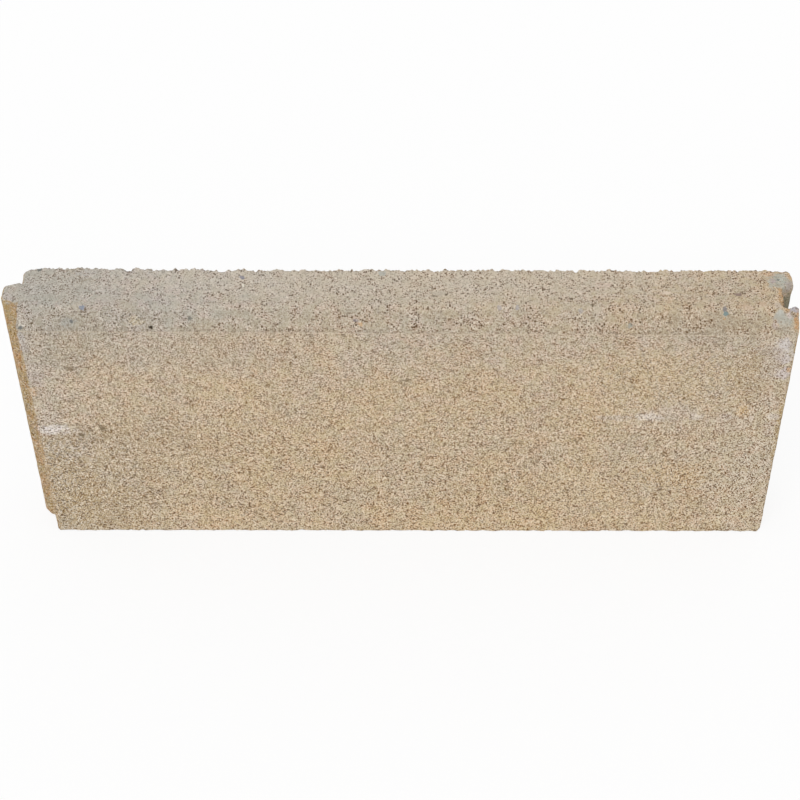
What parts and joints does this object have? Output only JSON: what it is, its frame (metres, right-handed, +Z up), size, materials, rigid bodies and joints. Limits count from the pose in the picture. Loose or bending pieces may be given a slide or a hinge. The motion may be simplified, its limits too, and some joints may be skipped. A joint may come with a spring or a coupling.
{
  "type": "concrete kerb stone",
  "caption": "Upright edging kerb of pressed sand-coloured concrete with a sloped front arris, a tapered tongue on one end and a matching groove on the other.",
  "frame": {"origin": "middle of the base of the body, on the ground, the tongue not counted", "axes": "+X along the kerb from the tongue end to the groove end, +Y from the front face with the sloped arris to the back face, +Z up"},
  "size_m": [0.5105, 0.05, 0.2],
  "materials": {
    "concrete": "matte"
  },
  "bodies": {
    "root": {"kerb_stone": "concrete"}
  },
  "joints": []
}
